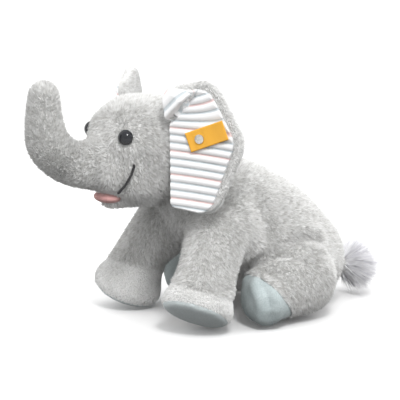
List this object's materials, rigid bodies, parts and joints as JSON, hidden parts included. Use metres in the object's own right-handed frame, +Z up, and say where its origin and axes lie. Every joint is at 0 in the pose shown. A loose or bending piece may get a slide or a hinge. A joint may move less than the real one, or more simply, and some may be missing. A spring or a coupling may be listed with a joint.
{
  "type": "stuffed elephant",
  "caption": "Seated soft plush elephant with a raised trunk, striped ear linings and a tufted tail; head, trunk, ears, legs and tail bend at sewn joints.",
  "frame": {"origin": "middle of the flat seat under the rump, on the surface that the toy sits on", "axes": "+Z up, the elephant looks along -Y and its left side is +X"},
  "size_m": [0.1532, 0.2718, 0.1681],
  "materials": {
    "grey_plush": "short brushed pile",
    "sole_velour": "smooth short velour",
    "ear_lining_cord": "ribbed striped cloth",
    "mouth_velour": "smooth short velour",
    "tuft_pile": "long pile",
    "fibre_fill": "loose polyester fibre",
    "smile_thread": "satin embroidery thread",
    "label_weave": "woven ribbon",
    "eye_gloss": "polished",
    "washer_plastic": "moulded",
    "snap_nickel": "nickel plated, satin"
  },
  "bodies": {
    "torso": {"torso_panel_left": "grey_plush", "torso_panel_right": "grey_plush", "belly_panel": "grey_plush", "torso_stuffing": "fibre_fill"},
    "head": {"head_panel_left": "grey_plush", "head_panel_right": "grey_plush", "jaw_panel": "grey_plush", "mouth_lining": "mouth_velour", "head_stuffing": "fibre_fill", "smile_stitch_left": "smile_thread", "smile_stitch_right": "smile_thread", "eye_left": "eye_gloss", "eye_right": "eye_gloss", "eye_washer_left": "washer_plastic", "eye_washer_right": "washer_plastic"},
    "trunk": {"trunk_panel_left": "grey_plush", "trunk_panel_right": "grey_plush", "trunk_stuffing": "fibre_fill"},
    "ear_left": {"ear_back_left": "grey_plush", "ear_wadding_left": "fibre_fill", "ear_lining_left": "ear_lining_cord", "label_ribbon": "label_weave", "label_snap_cap": "snap_nickel", "label_snap_base": "snap_nickel"},
    "ear_right": {"ear_back_right": "grey_plush", "ear_wadding_right": "fibre_fill", "ear_lining_right": "ear_lining_cord"},
    "front_leg_left": {"front_leg_cover_left": "grey_plush", "front_sole_left": "sole_velour", "front_leg_stuffing_left": "fibre_fill"},
    "front_leg_right": {"front_leg_cover_right": "grey_plush", "front_sole_right": "sole_velour", "front_leg_stuffing_right": "fibre_fill"},
    "hind_leg_left": {"hind_leg_cover_left": "grey_plush", "hind_sole_left": "sole_velour", "hind_leg_stuffing_left": "fibre_fill"},
    "hind_leg_right": {"hind_leg_cover_right": "grey_plush", "hind_sole_right": "sole_velour", "hind_leg_stuffing_right": "fibre_fill"},
    "tail": {"tail_cover": "grey_plush", "tail_stuffing": "fibre_fill", "tail_tuft": "tuft_pile"}
  },
  "joints": [
    {"name": "head_nod", "type": "hinge", "parent": "torso", "child": "head", "pos_m": [0, -0.084, 0.0975], "axis": [1, 0, 0], "range_deg": [-10, 10], "stiffness_Nm_per_rad": 2},
    {"name": "trunk_curl", "type": "hinge", "parent": "head", "child": "trunk", "pos_m": [0, -0.144, 0.1105], "axis": [1, 0, 0], "range_deg": [-12, 12], "stiffness_Nm_per_rad": 0.6},
    {"name": "ear_left_flap", "type": "hinge", "parent": "head", "child": "ear_left", "pos_m": [0.0355, -0.109, 0.08087], "axis": [0, -0.0175, 0.9998], "range_deg": [-35, 15], "stiffness_Nm_per_rad": 0.12},
    {"name": "ear_right_flap", "type": "hinge", "parent": "head", "child": "ear_right", "pos_m": [-0.0355, -0.109, 0.08087], "axis": [0, -0.0175, 0.9998], "range_deg": [-15, 35], "stiffness_Nm_per_rad": 0.12},
    {"name": "front_leg_left_swing", "type": "hinge", "parent": "torso", "child": "front_leg_left", "pos_m": [0.034, -0.077, 0.0615], "axis": [1, 0, 0], "range_deg": [-35, 3], "stiffness_Nm_per_rad": 3},
    {"name": "front_leg_right_swing", "type": "hinge", "parent": "torso", "child": "front_leg_right", "pos_m": [-0.034, -0.077, 0.0615], "axis": [1, 0, 0], "range_deg": [-35, 3], "stiffness_Nm_per_rad": 3},
    {"name": "hind_leg_left_splay", "type": "hinge", "parent": "torso", "child": "hind_leg_left", "pos_m": [0.04, -0.016, 0.0274], "axis": [0, 0, 1], "range_deg": [-3, 24], "stiffness_Nm_per_rad": 3},
    {"name": "hind_leg_right_splay", "type": "hinge", "parent": "torso", "child": "hind_leg_right", "pos_m": [-0.04, -0.016, 0.0274], "axis": [0, 0, 1], "range_deg": [-24, 3], "stiffness_Nm_per_rad": 3},
    {"name": "tail_lift", "type": "hinge", "parent": "torso", "child": "tail", "pos_m": [0, 0.035, 0.0275], "axis": [1, 0, 0], "range_deg": [-20, 30], "stiffness_Nm_per_rad": 0.1}
  ]
}
